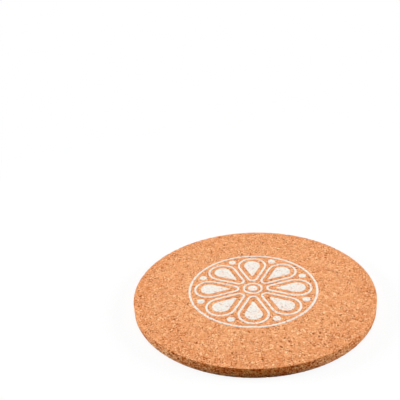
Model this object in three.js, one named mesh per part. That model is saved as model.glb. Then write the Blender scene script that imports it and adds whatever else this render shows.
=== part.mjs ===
// A round drinks coaster: a disc of agglomerated cork with a white screen print on its top face.
// Units are millimetres. +Z is up, and the origin is the centre of the face that the coaster rests on.
import * as THREE from "three";

// The cork disc
const DISC_DIAMETER = 100;
const DISC_THICKNESS = 4;
const RIM_RADIUS = 0.15; // the punch leaves both rims almost sharp
const DISC_FACETS = 120;
const RIM_STEPS = 2; // half the steps in each rim's round

// The printed rosette
const PRINT_DIAMETER = 54;
const INK_THICKNESS = 0.1;
const LINE_WIDTH = 0.9;
const ISLAND_GAP = 1.4; // bare cork between one island of ink and the next
const PETAL_COUNT = 8;
const CORE_GAP = 1.9; // bare cork between a petal's outline and the solid drop in it
const TIP_RADIUS = 0.4; // the sharpest round that the print's stencil holds
const CENTRE_DOT_DIAMETER = 4;
const CENTRE_GAP = 1.3; // bare cork between the centre dot and the ring round it
const RING_STEPS = 48; // half the steps in the large ring's round
const CURVE_STEPS = 10; // half the steps in each smaller round

const cork = new THREE.MeshStandardMaterial({ color: 0xe3a271, roughness: 0.9, metalness: 0 });
const ink = new THREE.MeshStandardMaterial({ color: 0xfbf0e2, roughness: 0.6, metalness: 0 });

// Radii of the print's bands, from its outer ring inwards and from its centre outwards
const ringOuter = PRINT_DIAMETER / 2;
const ringInner = ringOuter - LINE_WIDTH;
const petalTip = ringInner - ISLAND_GAP;
const dotRadius = CENTRE_DOT_DIAMETER / 2;
const centreInner = dotRadius + CENTRE_GAP;
const centreOuter = centreInner + LINE_WIDTH;
const petalRoot = centreOuter + ISLAND_GAP;

// Each petal fills a sector of the rosette, and half a gap parts it from either edge of that sector.
const sectorAngle = Math.PI / PETAL_COUNT;
const sectorSine = Math.sin(sectorAngle);
const halfGap = ISLAND_GAP / 2;
const petalOuterCentre = (petalTip + halfGap) / (1 + sectorSine);
const petalInnerCentre = (petalRoot - halfGap) / (1 - sectorSine);

// Radius of a circle centred on the petal's axis that touches both sides of the petal, drawn in by an inset.
function touchingRadius(centre, inset) {
  return centre * sectorSine - halfGap - inset;
}

// A drop along +X between two such circles: straight sides, a wide round outside and a narrow one inside.
function addDrop(path, inset) {
  const tipCentre = (TIP_RADIUS + halfGap + inset) / sectorSine;
  const innerCentre = Math.max(petalInnerCentre, tipCentre);
  const innerRadius = touchingRadius(innerCentre, inset);
  const outerRadius = touchingRadius(petalOuterCentre, inset);
  const turn = Math.PI / 2 + sectorAngle; // where the sides leave the circles
  path.absarc(petalOuterCentre, 0, outerRadius, -turn, turn, false);
  path.absarc(innerCentre, 0, innerRadius, turn, 2 * Math.PI - turn, false);
  path.closePath();
  return path;
}

function addCircle(path, x, radius) {
  return path.absarc(x, 0, radius, 0, 2 * Math.PI, false);
}

// The disc is a half section turned round Z.
function discGeometry() {
  const radius = DISC_DIAMETER / 2;
  const rim = Math.min(RIM_RADIUS, DISC_THICKNESS / 2);
  const section = new THREE.Path();
  section.moveTo(0, 0);
  section.lineTo(radius - rim, 0);
  section.absarc(radius - rim, rim, rim, -Math.PI / 2, 0, false);
  section.absarc(radius - rim, DISC_THICKNESS - rim, rim, 0, Math.PI / 2, false);
  section.lineTo(0, DISC_THICKNESS);
  const turned = new THREE.LatheGeometry(section.getPoints(RIM_STEPS), DISC_FACETS);
  return turned.rotateX(Math.PI / 2);
}

// A film of ink with the outline of a flat shape.
function inkGeometry(shape, curveSegments) {
  return new THREE.ExtrudeGeometry(shape, { depth: INK_THICKNESS, bevelEnabled: false, curveSegments });
}

function ringGeometry(outer, inner, curveSegments) {
  const shape = addCircle(new THREE.Shape(), 0, outer);
  shape.holes.push(addCircle(new THREE.Path(), 0, inner));
  return inkGeometry(shape, curveSegments);
}

function petalGeometry() {
  const shape = addDrop(new THREE.Shape(), 0);
  shape.holes.push(addDrop(new THREE.Path(), LINE_WIDTH));
  return inkGeometry(shape, CURVE_STEPS);
}

function petalCoreGeometry() {
  return inkGeometry(addDrop(new THREE.Shape(), LINE_WIDTH + CORE_GAP), CURVE_STEPS);
}

// A bead lies between two petals, one gap from both of them and from the outer ring.
function beadGeometry() {
  const reach = petalTip;
  const away = touchingRadius(petalOuterCentre, 0) + ISLAND_GAP;
  const along = petalOuterCentre * Math.cos(sectorAngle);
  const spare = reach ** 2 + petalOuterCentre ** 2 - 2 * reach * along - away ** 2;
  const radius = spare / (2 * (away + reach - along));
  return inkGeometry(addCircle(new THREE.Shape(), reach - radius, radius), CURVE_STEPS);
}

function dotGeometry() {
  return inkGeometry(addCircle(new THREE.Shape(), 0, dotRadius), CURVE_STEPS);
}

function named(name, geometry, material) {
  const mesh = new THREE.Mesh(geometry, material);
  mesh.name = name;
  return mesh;
}

const print = new THREE.Group();
print.position.z = DISC_THICKNESS;
print.add(named("print_ring", ringGeometry(ringOuter, ringInner, RING_STEPS), ink));
print.add(named("print_centre_ring", ringGeometry(centreOuter, centreInner, CURVE_STEPS), ink));
print.add(named("print_centre_dot", dotGeometry(), ink));
for (let i = 0; i < PETAL_COUNT; i++) {
  const onPetal = new THREE.Group();
  onPetal.rotation.z = 2 * sectorAngle * i;
  onPetal.add(named(`print_petal_${i + 1}`, petalGeometry(), ink));
  onPetal.add(named(`print_petal_core_${i + 1}`, petalCoreGeometry(), ink));
  const betweenPetals = new THREE.Group();
  betweenPetals.rotation.z = onPetal.rotation.z + sectorAngle;
  betweenPetals.add(named(`print_bead_${i + 1}`, beadGeometry(), ink));
  print.add(onPetal, betweenPetals);
}

const coaster = new THREE.Group();
coaster.add(named("cork_disc", discGeometry(), cork));
coaster.add(print);

export default coaster;
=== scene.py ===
"""Looks of a round cork coaster: granular die-cut cork with a worn white print, on a white floor."""

import math

import bpy
import numpy as np
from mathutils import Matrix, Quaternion, Vector
from mathutils.geometry import delaunay_2d_cdt
from mathutils.kdtree import KDTree


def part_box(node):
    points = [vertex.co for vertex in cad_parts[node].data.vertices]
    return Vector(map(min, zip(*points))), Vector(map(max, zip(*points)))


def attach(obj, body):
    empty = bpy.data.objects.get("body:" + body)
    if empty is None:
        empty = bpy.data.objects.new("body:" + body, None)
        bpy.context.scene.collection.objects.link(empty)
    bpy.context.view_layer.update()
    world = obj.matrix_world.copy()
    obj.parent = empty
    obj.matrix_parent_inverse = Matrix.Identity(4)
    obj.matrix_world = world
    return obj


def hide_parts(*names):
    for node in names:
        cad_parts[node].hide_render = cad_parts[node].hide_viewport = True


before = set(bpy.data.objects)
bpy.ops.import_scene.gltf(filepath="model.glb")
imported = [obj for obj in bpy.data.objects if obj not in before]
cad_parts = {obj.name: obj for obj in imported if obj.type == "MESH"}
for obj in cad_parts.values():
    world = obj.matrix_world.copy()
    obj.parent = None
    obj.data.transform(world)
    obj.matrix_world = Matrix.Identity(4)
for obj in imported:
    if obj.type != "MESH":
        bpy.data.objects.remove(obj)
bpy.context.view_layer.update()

MM = 0.001

# Sizes of the disc. Its radius and thickness come from the frame
disc_low, disc_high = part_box("cork_disc")
RADIUS = (disc_high.x - disc_low.x) / 2
THICKNESS = disc_high.z - disc_low.z
RIM = 0.1 * MM

# Camera, from where the photograph shows the disc lying flat, in its frame of 400 by 400 pixels
FRAME_PIXELS = 400
TOP_CENTRE_PIXEL = (252.75, 288.20)
PIXELS_PER_RADIUS = 117.50
VIEW_DISTANCE = 5.0 * RADIUS
VIEW_ELEVATION = math.radians(33.15)
VIEW_ROLL = math.radians(-1.72)
SENSOR_WIDTH = 36.0

# Sizes in the cork's grain, in millimetres, and along the grain for what is slender
GRANULE = 1.15
FLAKE = 1.1
CRUMB = 0.5
FINE_GRAIN = 0.25
PATCH = 3.5
SEAM_STRETCH = 0.9
BARK_CELL = 3.0
PORE_CELL = 0.9
BEND_STRETCH = 1.1
BEND = 0.7

# Form of the grain
PRESSED = 1.5  # how many times wider than high a granule is
SLENDERNESS = 2.2  # how many times longer than thick a crumb, a flake or a speck of bark is
FINE_DETAIL = 3.0  # how many finer layers the finest noise has

# The cut edge's look, in millimetres from the wall and from a face
WALL_FADE = (0.5, 0.2)  # from where it starts, inside the wall, to where it is full
RIM_FADE = (0.4, 0.05)  # from where it is full to where it ends, near a face

# Relief, with depths in millimetres and widths in parts of a granule's width
GROOVE_DEPTH = 0.07
GROOVE_WIDTH = 0.16
UNEVEN_DEPTH = 0.07
LOST_DEPTH = 0.22
BODY_FADE = (0.02, 0.2)  # from a granule's border to its full body
LOST_SHARE = 0.07  # share of the granules that fell out of the cut
EDGE_ROUGHNESS = 0.8  # relief of the cut edge as a share of the faces' relief
SKIN = 0.8 * MM  # how far from a rim the relief starts to turn from one side's direction to the other's

# Tones of the cork, on a scale from 0, its darkest colour, to 1, its palest
MIDDLE_TONE = 0.54
CRUMB_DARKNESS = 0.6
DARK_CRUMBS = 0.3  # share of the crumbs that are darker
FLAKE_PALENESS = 0.48
PALE_FLAKES = 0.28  # share of the flakes that are paler
FINE_CONTRAST = 1.6
SEAM_DARKNESS = 0.4
SEAM_WIDTH = 0.08  # in parts of a granule's width
SEAM_NOISE = (0.42, 0.6)  # from the noise where no seam shows to where they show in full
GRANULE_CONTRAST = 0.16
PATCH_CONTRAST = 0.2
PATCH_NOISE = (0.35, 0.65)  # the noise in the calmest and in the liveliest patches
PATCH_GRAIN = (0.5, 1.4)  # strength of the grain in the calmest and in the liveliest patches
EDGE_GRAIN = 2.1  # how many times stronger the grain is on the cut edge
EDGE_CLUMPS = 3.7  # how many times stronger granules and patches differ there
# Painted light and shade on the faces: a little lighter in the middle and darker towards the rim, where the
# light falls off
PAINTED_MIDDLE_LIGHT = 0.024
PAINTED_RIM_SHADE = 0.036
PAINTED_RIM_SHADE_REACH = (0.65, 1.02)  # in radii

# Dark spots: the share of the cells that have one, its soft rim in parts of a cell, and its strength
BARK_SPOTS = (0.17, (0.2, 0.34), 1.0)
PORE_SPOTS = (0.3, (0.1, 0.2), 0.6)
# Hollows of lost granules: a darker colour, partly the cork's own darker inside and partly painted shade in
# the hollow, strongest on the cut edge
FACE_PIT_AND_SHADE_STRENGTH = 0.35
EDGE_PIT_AND_SHADE_STRENGTH = 0.9

# Fine grain, with heights in parts of a crumb's height and seams in parts of a cell's width
CRUMB_HEIGHT = 0.03 * MM
CRUMB_SEAM = 0.2
CRUMB_STEP = 0.8
GRANULE_SEAM = 0.1
FINE_STEP = 1.0
SPOT_DEPTH = 2.0
PROUD_HEIGHT = 2.0

# Finish of the cork and of the ink
CORK_ROUGHNESS = (0.95, 0.75)  # from the deepest grain to the proudest
CORK_BUMP = 0.3
CORK_GLOSS = 0.04
INK_ROUGHNESS = (0.6, 0.9)  # from whole ink to bare cork
INK_BUMP = 0.4
INK_GLOSS = 0.3

# Wear of the ink, with sizes in millimetres and grooves in parts of a granule's width
FLECK = 0.7
FLECK_NOISE = (0.61, 0.70)  # from the noise where the ink is whole to where it is gone
MOTTLE = 0.3
BARE_GROOVE = (0.02, 0.08)
BARE_GROOVE_STRENGTH = 0.8
BARE_GROOVE_NOISE = (0.46, 0.56)

# Mesh density and the film of ink
TOP_STEP = 0.37 * MM
BOTTOM_STEP = 0.75 * MM
RING_POINTS = math.ceil(2 * math.pi * RADIUS / TOP_STEP)  # none is further than a top step from the next
WALL_STEPS = 11
RIM_STEPS = 2
FILM_STEP = 0.3 * MM
FILM_LIFT = 0.05 * MM
FILM_FILL = 0.6  # how far the film's top follows the relief under it
PLACE_DIGITS = 7
LEVEL_TOLERANCE = 0.001 * MM
MERGE_DISTANCE = 1e-9

# Floor and light
FLOOR_SIZE = 12.0
FLOOR_BOUNCE = (0.65, 0.38, 0.08, 1.0)
BLACK = (0.0, 0.0, 0.0, 1.0)
WHITE = (1.0, 1.0, 1.0, 1.0)
# Width of the painted contact shadow: the floor's bounce colour fades to black within it, next to the disc
PAINTED_CONTACT_SHADOW = 5 * MM
FLOOR_SHADOW = 0.15
SHADOW_FADE = (2, 5)  # in radii
AMBIENT = 0.11
OVERHEAD_PLACE = (0.0, 0.25, 1.2)
OVERHEAD_SIZE = (0.9, 0.9)
OVERHEAD_LEVEL = 0.51
SIDE_PLACE = (1.2, 0.17, 0.35)
SIDE_SIZE = (0.6, 0.5)
SIDE_LEVEL = 1.03


class Net:
    """Adds nodes to a node tree. What a node is given is a number, a colour or another node's output."""

    def __init__(self, tree):
        self.tree = tree

    def node(self, kind, inputs, **settings):
        made = self.tree.nodes.new(kind)
        for name, value in settings.items():
            setattr(made, name, value)
        for key, value in inputs.items():
            self.feed(made.inputs[key], value)
        return made

    def first(self, kind, inputs, **settings):
        """The first output of a new node."""
        return self.node(kind, inputs, **settings).outputs[0]

    def feed(self, socket, value):
        if isinstance(value, bpy.types.NodeSocket):
            self.tree.links.new(value, socket)
        else:
            socket.default_value = value

    def math(self, operation, a, b=0.0):
        return self.first("ShaderNodeMath", {0: a, 1: b}, operation=operation)

    def vector(self, operation, a, b):
        return self.first("ShaderNodeVectorMath", {0: a, 1: b}, operation=operation)

    def parts(self, vector):
        return self.node("ShaderNodeSeparateXYZ", {"Vector": vector}).outputs

    def fade(self, value, start, end, low=0.0, high=1.0):
        """Runs smoothly from low, where the value is at start, to high, where it is at end."""
        inputs = {"Value": value, "From Min": start, "From Max": end, "To Min": low, "To Max": high}
        return self.first("ShaderNodeMapRange", inputs, interpolation_type="SMOOTHSTEP")

    def noise(self, place, size, detail=2.0):
        """Outputs of a soft noise with features of a size."""
        inputs = {"Vector": place, "Scale": 1 / size, "Detail": detail}
        return self.node("ShaderNodeTexNoise", inputs).outputs

    def cells(self, place, size, feature="F1"):
        """Outputs of a pattern of cells of a size. Its distances are in parts of that size."""
        inputs = {"Vector": place, "Scale": 1 / size}
        return self.node("ShaderNodeTexVoronoi", inputs, feature=feature).outputs

    def border(self, place, size):
        """Distance to the border of a cell of a size, in parts of that size."""
        return self.cells(place, size, "DISTANCE_TO_EDGE")["Distance"]

    def dice(self, place, size):
        """Three dice, thrown once for each cell of a size."""
        return self.parts(self.cells(place, size)["Color"])

    def mix(self, share, a, b):
        """A colour that goes from a to b."""
        return self.node("ShaderNodeMix", {0: share, 6: a, 7: b}, data_type="RGBA").outputs[2]

    def ramp(self, value, stops):
        made = self.node("ShaderNodeValToRGB", {"Fac": value})
        elements = made.color_ramp.elements
        while len(elements) < len(stops):
            elements.new(0.5)
        for element, (position, colour) in zip(elements, stops):
            element.position = position
            element.color = colour
        return made.outputs["Color"]


# Granules, shared by the relief and the colours

class Granules:
    """The cork's granules at a place in millimetres.

    The border is the distance to the granule's border, in parts of its width. The dice are thrown once for
    each granule. The pressed place lies in a space where the granules are neither bent nor flattened.
    """

    def __init__(self, net, place):
        wander = net.vector("SUBTRACT", net.noise(place, BEND_STRETCH)["Color"], (0.5, 0.5, 0.5))
        bent = net.vector("ADD", place, net.vector("MULTIPLY", wander, (BEND, BEND, BEND)))
        self.place = place
        self.pressed = net.vector("MULTIPLY", bent, (1.0, 1.0, PRESSED))
        self.border = net.border(self.pressed, GRANULE)
        self.dice = net.cells(self.pressed, GRANULE)["Color"]
        self.level_die, self.loss_die, _ = net.parts(self.dice)

    def body(self, net):
        """1 within a granule, and 0 at its border."""
        return net.fade(self.border, *BODY_FADE)

    def is_lost(self, net):
        """1 where the granule fell out of the cut, and 0 elsewhere."""
        return net.math("GREATER_THAN", self.loss_die, 1 - LOST_SHARE)

    def grain_place(self, net):
        """The place turned into its granule's own grain, and stretched across that grain."""
        turn = net.vector("MULTIPLY", self.dice, (math.tau, math.tau, math.tau))
        inputs = {"Vector": self.pressed, "Rotation": turn}
        turned = net.first("ShaderNodeVectorRotate", inputs, rotation_type="EULER_XYZ")
        return net.vector("MULTIPLY", turned, (1.0, SLENDERNESS, SLENDERNESS))


def relief_depth(net, place):
    """How far the surface lies below the cut, in millimetres: grooves, uneven granules and lost granules."""
    granules = Granules(net, place)
    groove = net.fade(granules.border, 0.0, GROOVE_WIDTH, GROOVE_DEPTH, 0.0)
    uneven = net.math("MULTIPLY", granules.level_die, UNEVEN_DEPTH)
    lost = net.math("MULTIPLY", granules.is_lost(net), LOST_DEPTH)
    sunk = net.math("MULTIPLY", net.math("ADD", uneven, lost), granules.body(net))
    return net.math("ADD", sunk, groove)


def evaluated(field, places):
    """Values of a field of nodes at places given in metres."""
    mesh = bpy.data.meshes.new("probe")
    mesh.from_pydata(places, [], [])
    probe = bpy.data.objects.new("probe", mesh)
    bpy.context.scene.collection.objects.link(probe)
    tree = bpy.data.node_groups.new("probe", "GeometryNodeTree")
    tree.interface.new_socket("Geometry", in_out="INPUT", socket_type="NodeSocketGeometry")
    tree.interface.new_socket("Geometry", in_out="OUTPUT", socket_type="NodeSocketGeometry")
    net = Net(tree)
    start = net.first("NodeGroupInput", {})
    place = net.first("GeometryNodeInputPosition", {})
    value = field(net, net.vector("MULTIPLY", place, (1 / MM, 1 / MM, 1 / MM)))
    inputs = {"Geometry": start, "Name": "value", "Value": value}
    net.node("NodeGroupOutput", {0: net.first("GeometryNodeStoreNamedAttribute", inputs)})
    probe.modifiers.new("probe", "NODES").node_group = tree
    depsgraph = bpy.context.evaluated_depsgraph_get()
    values = np.zeros(len(places), np.float32)
    probe.evaluated_get(depsgraph).data.attributes["value"].data.foreach_get("value", values)
    bpy.data.objects.remove(probe)
    bpy.data.meshes.remove(mesh)
    bpy.data.node_groups.remove(tree)
    return values.astype(float)


# Colours

def srgb(red, green, blue):
    """A colour as a picture shows it, from 0 to 255, as the shader's linear colour."""
    shares = [level / 255 for level in (red, green, blue)]
    linear = [s / 12.92 if s < 0.04045 else ((s + 0.055) / 1.055) ** 2.4 for s in shares]
    return (*linear, 1.0)


CORK_TONES = [
    (0.0, srgb(154, 60, 6)),
    (0.25, srgb(213, 118, 50)),
    (0.5, srgb(236, 167, 115)),
    (0.75, srgb(250, 184, 134)),
    (1.0, srgb(255, 214, 165)),
]
BARK = srgb(142, 56, 6)
# Colours of the hollows of lost granules: partly the cork's own, partly painted shade
FACE_PIT_AND_SHADE = srgb(206, 100, 26)
EDGE_PIT_AND_SHADE = srgb(96, 36, 6)
INK_WHITE = srgb(247, 245, 240)
INK_CREAM = srgb(234, 227, 216)


# Materials

def surface_place(net):
    """The place on the object, in millimetres."""
    place = net.node("ShaderNodeTexCoord", {}).outputs["Object"]
    return net.vector("MULTIPLY", place, (1 / MM, 1 / MM, 1 / MM))


def centred(net, value, size):
    """A value between 0 and 1, moved to lie either side of 0 and scaled to a size."""
    return net.math("MULTIPLY", net.math("SUBTRACT", value, 0.5), size)


def reach_of(net, place):
    """How far a place is from the disc's axis."""
    flat = net.vector("MULTIPLY", place, (1.0, 1.0, 0.0))
    return net.node("ShaderNodeVectorMath", {0: flat}, operation="LENGTH").outputs["Value"]


def edge_share(net, place):
    """1 on the die-cut edge and 0 on the two faces."""
    middle = THICKNESS / MM / 2
    wall_start, wall_full = [RADIUS / MM - inset for inset in WALL_FADE]
    rim_full, rim_end = [middle - inset for inset in RIM_FADE]
    wall = net.fade(reach_of(net, place), wall_start, wall_full)
    off_middle = net.math("ABSOLUTE", net.math("SUBTRACT", net.parts(place)[2], middle))
    return net.math("MULTIPLY", wall, net.fade(off_middle, rim_full, rim_end, 1.0, 0.0))


def by_side(net, on_edge, face, edge):
    """One value on the faces and another on the cut edge."""
    return net.fade(on_edge, 0.0, 1.0, face, edge)


def painted_light_and_rim_shade(net, place, on_edge):
    """Painted light and shade: the faces are a little lighter in the middle and darker towards the rim."""
    start, end = [share * RADIUS / MM for share in PAINTED_RIM_SHADE_REACH]
    tone = net.fade(reach_of(net, place), start, end, PAINTED_MIDDLE_LIGHT, -PAINTED_RIM_SHADE)
    return net.math("MULTIPLY", tone, by_side(net, on_edge, 1.0, 0.0))


def seam_tone(net, granules):
    """How much darker the seams between granules are. They show in some stretches only."""
    shown = net.fade(net.noise(granules.place, SEAM_STRETCH)[0], *SEAM_NOISE, 0.0, SEAM_DARKNESS)
    return net.math("MULTIPLY", net.fade(granules.border, 0.0, SEAM_WIDTH, 1.0, 0.0), shown)


def cork_tone(net, granules, crumb_die, flake_die, fine, on_edge):
    """The cork's tone: its grain, how granules and patches differ, and painted light and shade that make a
    face lighter in the middle and darker towards its rim.
    """
    patch = net.noise(granules.place, PATCH)[0]
    crumb = net.fade(crumb_die, 0.0, DARK_CRUMBS, -CRUMB_DARKNESS, 0.0)
    flake = net.fade(flake_die, 1 - PALE_FLAKES, 1.0, 0.0, FLAKE_PALENESS)
    grain = net.math("ADD", net.math("ADD", crumb, flake), centred(net, fine, FINE_CONTRAST))
    grain = net.math("SUBTRACT", grain, seam_tone(net, granules))
    grain = net.math("MULTIPLY", grain, net.fade(patch, *PATCH_NOISE, *PATCH_GRAIN))
    grain = net.math("MULTIPLY", grain, by_side(net, on_edge, 1.0, EDGE_GRAIN))
    clump = centred(net, granules.level_die, GRANULE_CONTRAST)
    clump = net.math("ADD", clump, centred(net, patch, PATCH_CONTRAST))
    clump = net.math("MULTIPLY", clump, by_side(net, on_edge, 1.0, EDGE_CLUMPS))
    # painted light in the middle of a face and painted shade towards its rim
    tone = net.math("ADD", net.math("ADD", grain, clump), painted_light_and_rim_shade(net, granules.place, on_edge))
    return net.math("ADD", tone, MIDDLE_TONE)


def spots(net, place, size, share, rim, strength):
    """Spots in a share of the cells of a pattern. A spot's rim is soft between two distances."""
    cells = net.cells(place, size)
    chosen = net.math("GREATER_THAN", net.parts(cells["Color"])[0], 1 - share)
    return net.math("MULTIPLY", chosen, net.fade(cells["Distance"], *rim, strength, 0.0))


def pits_and_painted_shade(net, granules, on_edge):
    """How much of their darker colour the places of lost granules show: partly the cork's own darker inside,
    partly painted shade in the hollow.
    """
    hollow = net.math("MULTIPLY", granules.is_lost(net), granules.body(net))
    return net.math("MULTIPLY", hollow, by_side(net, on_edge, FACE_PIT_AND_SHADE_STRENGTH, EDGE_PIT_AND_SHADE_STRENGTH))


def cork_surface(net, granules, on_edge):
    """Colour of the cork and the height of its fine grain, in parts of a crumb's height."""
    along = granules.grain_place(net)
    crumb_die, _, step_die = net.dice(along, CRUMB)
    flake_die = net.dice(along, FLAKE)[0]
    fine = net.noise(granules.place, FINE_GRAIN, FINE_DETAIL)[0]
    bark = spots(net, along, BARK_CELL, *BARK_SPOTS)
    pores = spots(net, granules.place, PORE_CELL, *PORE_SPOTS)
    dark = net.math("MAXIMUM", bark, pores)
    colour = net.ramp(cork_tone(net, granules, crumb_die, flake_die, fine, on_edge), CORK_TONES)
    colour = net.mix(dark, colour, BARK)
    # hollows of lost granules: partly their own darker colour, partly painted shade
    colour = net.mix(pits_and_painted_shade(net, granules, on_edge), colour, net.mix(on_edge, FACE_PIT_AND_SHADE, EDGE_PIT_AND_SHADE))
    crumb = net.fade(net.border(along, CRUMB), 0.0, CRUMB_SEAM)
    height = net.math("ADD", crumb, centred(net, step_die, CRUMB_STEP))
    height = net.math("ADD", height, net.fade(granules.border, 0.0, GRANULE_SEAM))
    height = net.math("ADD", height, centred(net, fine, FINE_STEP))
    return colour, net.math("SUBTRACT", height, net.math("MULTIPLY", dark, SPOT_DEPTH))


def new_material(name):
    """A new material, with its net of nodes and its shader."""
    material = bpy.data.materials.new(name)
    material.use_nodes = True
    return material, Net(material.node_tree), material.node_tree.nodes["Principled BSDF"]


def set_finish(net, shader, colour, roughness, height, bump, gloss):
    """Gives a shader its colour, roughness, bump and gloss."""
    inputs = {"Height": height, "Strength": bump, "Distance": CRUMB_HEIGHT}
    net.feed(shader.inputs["Base Color"], colour)
    net.feed(shader.inputs["Roughness"], roughness)
    net.feed(shader.inputs["Normal"], net.first("ShaderNodeBump", inputs))
    shader.inputs["Specular IOR Level"].default_value = gloss


def cork_material():
    """Cork, with more contrast on its cut edge than on its faces."""
    material, net, shader = new_material("cork")
    granules = Granules(net, surface_place(net))
    colour, height = cork_surface(net, granules, edge_share(net, granules.place))
    roughness = net.fade(height, 0.0, PROUD_HEIGHT, *CORK_ROUGHNESS)
    set_finish(net, shader, colour, roughness, height, CORK_BUMP, CORK_GLOSS)
    return material


def ink_material():
    """White ink, missing in flecks and along some of the grooves, where the cork shows."""
    material, net, shader = new_material("white_ink")
    granules = Granules(net, surface_place(net))
    cork, height = cork_surface(net, granules, 0.0)
    fleck = net.noise(granules.place, FLECK, FINE_DETAIL)[0]
    groove = net.fade(granules.border, *BARE_GROOVE, BARE_GROOVE_STRENGTH, 0.0)
    groove = net.math("MULTIPLY", groove, net.fade(fleck, *BARE_GROOVE_NOISE))
    bare = net.math("MAXIMUM", net.fade(fleck, *FLECK_NOISE), groove)
    white = net.mix(net.noise(granules.place, MOTTLE)[0], INK_WHITE, INK_CREAM)
    roughness = net.fade(bare, 0.0, 1.0, *INK_ROUGHNESS)
    set_finish(net, shader, net.mix(bare, white, cork), roughness, height, INK_BUMP, INK_GLOSS)
    return material


# Meshes that fill an outline

def is_inside(places, edges):
    """Which places lie inside an outline, by counting the edges to their right."""
    inside = np.zeros(len(places), bool)
    x, y = places[:, 0], places[:, 1]
    for a, b in edges:
        if a[1] == b[1]:
            continue
        crosses = (y < a[1]) != (y < b[1])
        inside ^= crosses & (x < a[0] + (y - a[1]) * (b[0] - a[0]) / (b[1] - a[1]))
    return inside


def divided(edges, step):
    """Points along an outline, a step apart at most, and which pairs of them the outline joins."""
    points, pairs, numbers = [], [], {}

    def number_of(place):
        key = (round(place[0], PLACE_DIGITS), round(place[1], PLACE_DIGITS))
        if key not in numbers:
            numbers[key] = len(points)
            points.append(place)
        return numbers[key]

    for a, b in edges:
        steps = max(1, math.ceil(np.linalg.norm(b - a) / step))
        chain = [number_of(a + (b - a) * k / steps) for k in range(steps + 1)]
        pairs += list(zip(chain, chain[1:]))
    return np.array(points), pairs


def staggered(border, edges, step):
    """Points in staggered rows inside an outline, half a step or more from its border points."""
    low, high = border.min(0), border.max(0)
    row_step = step * math.sqrt(3) / 2
    rows = []
    for k, y in enumerate(np.arange(low[1], high[1], row_step)):
        xs = np.arange(low[0] + (k % 2) * step / 2, high[0], step)
        rows.append(np.c_[xs, np.full(len(xs), y)])
    places = np.concatenate(rows)
    places = places[is_inside(places, edges)]
    tree = KDTree(len(border))
    for number, (x, y) in enumerate(border):
        tree.insert((x, y, 0.0), number)
    tree.balance()
    gaps = np.array([tree.find((x, y, 0.0))[2] for x, y in places])
    return places[gaps > step / 2]


def filled(edges, step):
    """Flat points and triangles of a fine mesh that fills an outline. The outline's points come first."""
    border, pairs = divided(edges, step)
    flat = [Vector(place) for place in np.concatenate([border, staggered(border, edges, step)])]
    corners, _, triangles, *_ = delaunay_2d_cdt(flat, pairs, [], 0, MERGE_DISTANCE)
    places = np.array([tuple(corner) for corner in corners])
    triangles = np.array(triangles)
    centres = places[triangles].mean(axis=1)
    return places, triangles[is_inside(centres, edges)]


# The cork disc

def wall_section():
    """Radius and height of each row of the wall, from under the top face's rim to the bottom face's rim."""
    turns = np.linspace(math.pi / 2, 0, RIM_STEPS + 1)[1:]
    upper = [(RADIUS - RIM + RIM * math.cos(t), THICKNESS - RIM + RIM * math.sin(t)) for t in turns]
    heights = np.linspace(THICKNESS - RIM, RIM, WALL_STEPS + 1)[1:-1]
    lower = [(reach, THICKNESS - height) for reach, height in reversed(upper)]
    return upper + [(RADIUS, height) for height in heights] + lower + [(RADIUS - RIM, 0.0)]


def disc_mesh():
    """Points and faces of the smooth disc: its top, the rows down its wall and its bottom."""
    turns = np.linspace(0, 2 * math.pi, RING_POINTS, endpoint=False)
    around = np.c_[np.cos(turns), np.sin(turns)]
    rim = around * (RADIUS - RIM)
    edges = list(zip(rim, np.roll(rim, -1, axis=0)))

    # Top face
    top, top_faces = filled(edges, TOP_STEP)
    count = len(top)
    points = [np.c_[top, np.full(count, THICKNESS)]]
    faces = [top_faces.tolist()]

    # Wall
    ring = np.arange(RING_POINTS)
    for reach, height in wall_section():
        points.append(np.c_[around * reach, np.full(RING_POINTS, height)])
        lower = count + np.arange(RING_POINTS)
        faces.append(np.stack([ring, lower, np.roll(lower, -1), np.roll(ring, -1)], axis=1).tolist())
        ring = lower
        count += RING_POINTS

    # Bottom face, whose outline is the wall's last row
    bottom, bottom_faces = filled(edges, BOTTOM_STEP)
    points.append(np.c_[bottom, np.zeros(len(bottom))][RING_POINTS:])
    faces.append((ring[0] + bottom_faces[:, ::-1]).tolist())
    return np.concatenate(points), sum(faces, [])


def outward(points):
    """Unit directions out of the disc: up, down or sideways, and turning near the rims."""
    reach = np.hypot(points[:, 0], points[:, 1])
    over = np.maximum(reach - (RADIUS - SKIN), 0) / np.maximum(reach, SKIN)
    away = points * over[:, None]
    away[:, 2] = points[:, 2] - np.clip(points[:, 2], SKIN, THICKNESS - SKIN)
    return away / np.linalg.norm(away, axis=1)[:, None]


def new_piece(name, points, faces, material):
    mesh = bpy.data.meshes.new(name)
    mesh.from_pydata(points, [], faces)
    mesh.shade_smooth()
    mesh.materials.append(material)
    piece = bpy.data.objects.new(name, mesh)
    bpy.context.scene.collection.objects.link(piece)
    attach(piece, "root")
    return piece


def add_cork():
    """The disc with its relief cut into it."""
    points, faces = disc_mesh()
    away = outward(points)
    depth = evaluated(relief_depth, points) * MM
    depth *= 1 + (EDGE_ROUGHNESS - 1) * np.hypot(away[:, 0], away[:, 1])
    cork = new_piece("cork_body", points - away * depth[:, None], faces, cork_material())
    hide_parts("cork_disc")


# The print

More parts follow.
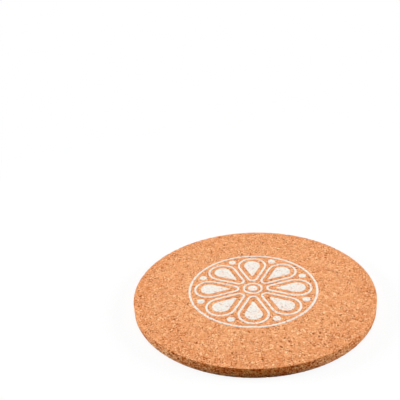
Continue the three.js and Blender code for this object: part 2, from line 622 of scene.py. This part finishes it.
def outline_of(node):
    """Edges round a node's top face, its holes included, each as a pair of flat points."""
    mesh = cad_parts[node].data
    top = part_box(node)[1].z
    corners = [tuple(round(x, PLACE_DIGITS) for x in vertex.co) for vertex in mesh.vertices]
    borders = set()
    for face in mesh.polygons:
        places = [corners[i] for i in face.vertices]
        if min(place[2] for place in places) < top - LEVEL_TOLERANCE:
            continue
        for a, b in zip(places, places[1:] + places[:1]):
            if (b, a) in borders:
                borders.remove((b, a))
            else:
                borders.add((a, b))
    return [(np.array(a[:2]), np.array(b[:2])) for a, b in sorted(borders)]


def add_film(node, material):
    """A thin film of ink over the outline of its node. It follows the relief and is rooted in the cork."""
    places, triangles = filled(outline_of(node), FILM_STEP)
    count = len(places)
    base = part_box(node)[0].z
    depth = evaluated(relief_depth, np.c_[places, np.full(count, base)]) * MM
    upper = np.c_[places, base + FILM_LIFT - FILM_FILL * depth]
    lower = np.c_[places, base - depth - FILM_LIFT / 2]
    sides = [pair for a, b, c in triangles.tolist() for pair in ((a, b), (b, c), (c, a))]
    met = set(sides)
    walls = [(a, a + count, b + count, b) for a, b in sides if (b, a) not in met]
    faces = triangles.tolist() + (triangles[:, ::-1] + count).tolist() + walls
    film = new_piece(node + "_film", np.concatenate([upper, lower]), faces, material)
    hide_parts(node)


def add_print():
    material = ink_material()
    for node in sorted(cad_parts):
        if node.startswith("print_"):
            add_film(node, material)


# Floor, light and camera

def path_share(net):
    """1 for what the camera, a mirror or a glass sees, and 0 for the light that falls on other surfaces."""
    path = net.node("ShaderNodeLightPath", {}).outputs
    seen = net.math("MAXIMUM", path["Is Camera Ray"], path["Is Glossy Ray"])
    return net.math("MAXIMUM", seen, path["Is Transmission Ray"])


def floor_material():
    """Seen as white with a faint shadow. The light that it throws is warm, and a painted contact shadow in
    its bounce colour makes it dim close to the disc.
    """
    material = bpy.data.materials.new("floor")
    material.use_nodes = True
    material.node_tree.nodes.clear()
    net = Net(material.node_tree)
    reach = reach_of(net, net.node("ShaderNodeTexCoord", {}).outputs["Object"])
    # painted contact shadow: the bounce colour is black at the disc and full a little way out
    bounce_with_painted_shadow = net.mix(net.fade(reach, RADIUS, RADIUS + PAINTED_CONTACT_SHADOW), BLACK, FLOOR_BOUNCE)
    thrown = net.first("ShaderNodeBsdfDiffuse", {"Color": bounce_with_painted_shadow})
    shaded = net.first("ShaderNodeBsdfDiffuse", {"Color": (FLOOR_SHADOW, FLOOR_SHADOW, FLOOR_SHADOW, 1.0)})
    glow = net.first("ShaderNodeEmission", {"Strength": 1 - FLOOR_SHADOW})
    near = net.first("ShaderNodeAddShader", {0: shaded, 1: glow})
    plain = net.first("ShaderNodeEmission", {"Strength": 1.0})
    far = net.fade(reach, *[share * RADIUS for share in SHADOW_FADE])
    seen = net.first("ShaderNodeMixShader", {0: far, 1: near, 2: plain})
    both = net.first("ShaderNodeMixShader", {0: path_share(net), 1: thrown, 2: seen})
    net.node("ShaderNodeOutputMaterial", {"Surface": both})
    return material


def add_floor():
    bpy.ops.mesh.primitive_plane_add(size=FLOOR_SIZE, location=(0, 0, 0))
    floor = bpy.context.object
    floor.name = "floor"
    floor.data.materials.append(floor_material())


def add_world():
    """Seen as white, with a low even light on the disc."""
    world = bpy.data.worlds.new("studio")
    world.use_nodes = True
    net = Net(world.node_tree)
    background = world.node_tree.nodes["Background"]
    net.feed(background.inputs["Strength"], net.fade(path_share(net), 0.0, 1.0, AMBIENT, 1.0))
    background.inputs["Color"].default_value = WHITE
    bpy.context.scene.world = world


def add_softbox(name, place, size, level):
    """A soft lamp aimed at the disc. A white card that faces it, where the disc is, renders at its level."""
    place = Vector(place)
    data = bpy.data.lights.new(name, "AREA")
    data.shape = "RECTANGLE"
    data.size, data.size_y = size
    data.energy = level * math.pi**2 * place.length_squared
    lamp = bpy.data.objects.new(name, data)
    lamp.location = place
    lamp.rotation_mode = "QUATERNION"
    lamp.rotation_quaternion = (-place).to_track_quat("-Z", "Y")
    bpy.context.scene.collection.objects.link(lamp)


def add_lights():
    across, along, up = SIDE_PLACE
    add_softbox("overhead", OVERHEAD_PLACE, OVERHEAD_SIZE, OVERHEAD_LEVEL)
    add_softbox("left", (-across, along, up), SIDE_SIZE, SIDE_LEVEL)
    add_softbox("right", (across, along, up), SIDE_SIZE, SIDE_LEVEL)


def add_camera():
    """A camera that shows the centre of the disc's top at its pixel, with no shift."""
    focal = PIXELS_PER_RADIUS * VIEW_DISTANCE / RADIUS
    half = FRAME_PIXELS / 2
    data = bpy.data.cameras.new("camera")
    data.sensor_width = SENSOR_WIDTH
    data.lens = focal * SENSOR_WIDTH / FRAME_PIXELS
    camera = bpy.data.objects.new("camera", data)
    sight = Vector((0.0, math.cos(VIEW_ELEVATION), -math.sin(VIEW_ELEVATION)))
    ray = Vector(((TOP_CENTRE_PIXEL[0] - half) / focal, (half - TOP_CENTRE_PIXEL[1]) / focal, -1.0))
    aside = ray.rotation_difference(Vector((0.0, 0.0, -1.0)))
    roll = Quaternion((0.0, 0.0, 1.0), VIEW_ROLL)
    camera.rotation_mode = "QUATERNION"
    camera.rotation_quaternion = sight.to_track_quat("-Z", "Y") @ roll @ aside
    camera.location = Vector((0.0, 0.0, THICKNESS)) - sight * VIEW_DISTANCE
    bpy.context.scene.collection.objects.link(camera)
    bpy.context.scene.camera = camera


bpy.context.scene.view_settings.view_transform = "Standard"
add_camera()
add_world()
add_lights()
add_floor()
add_cork()
add_print()
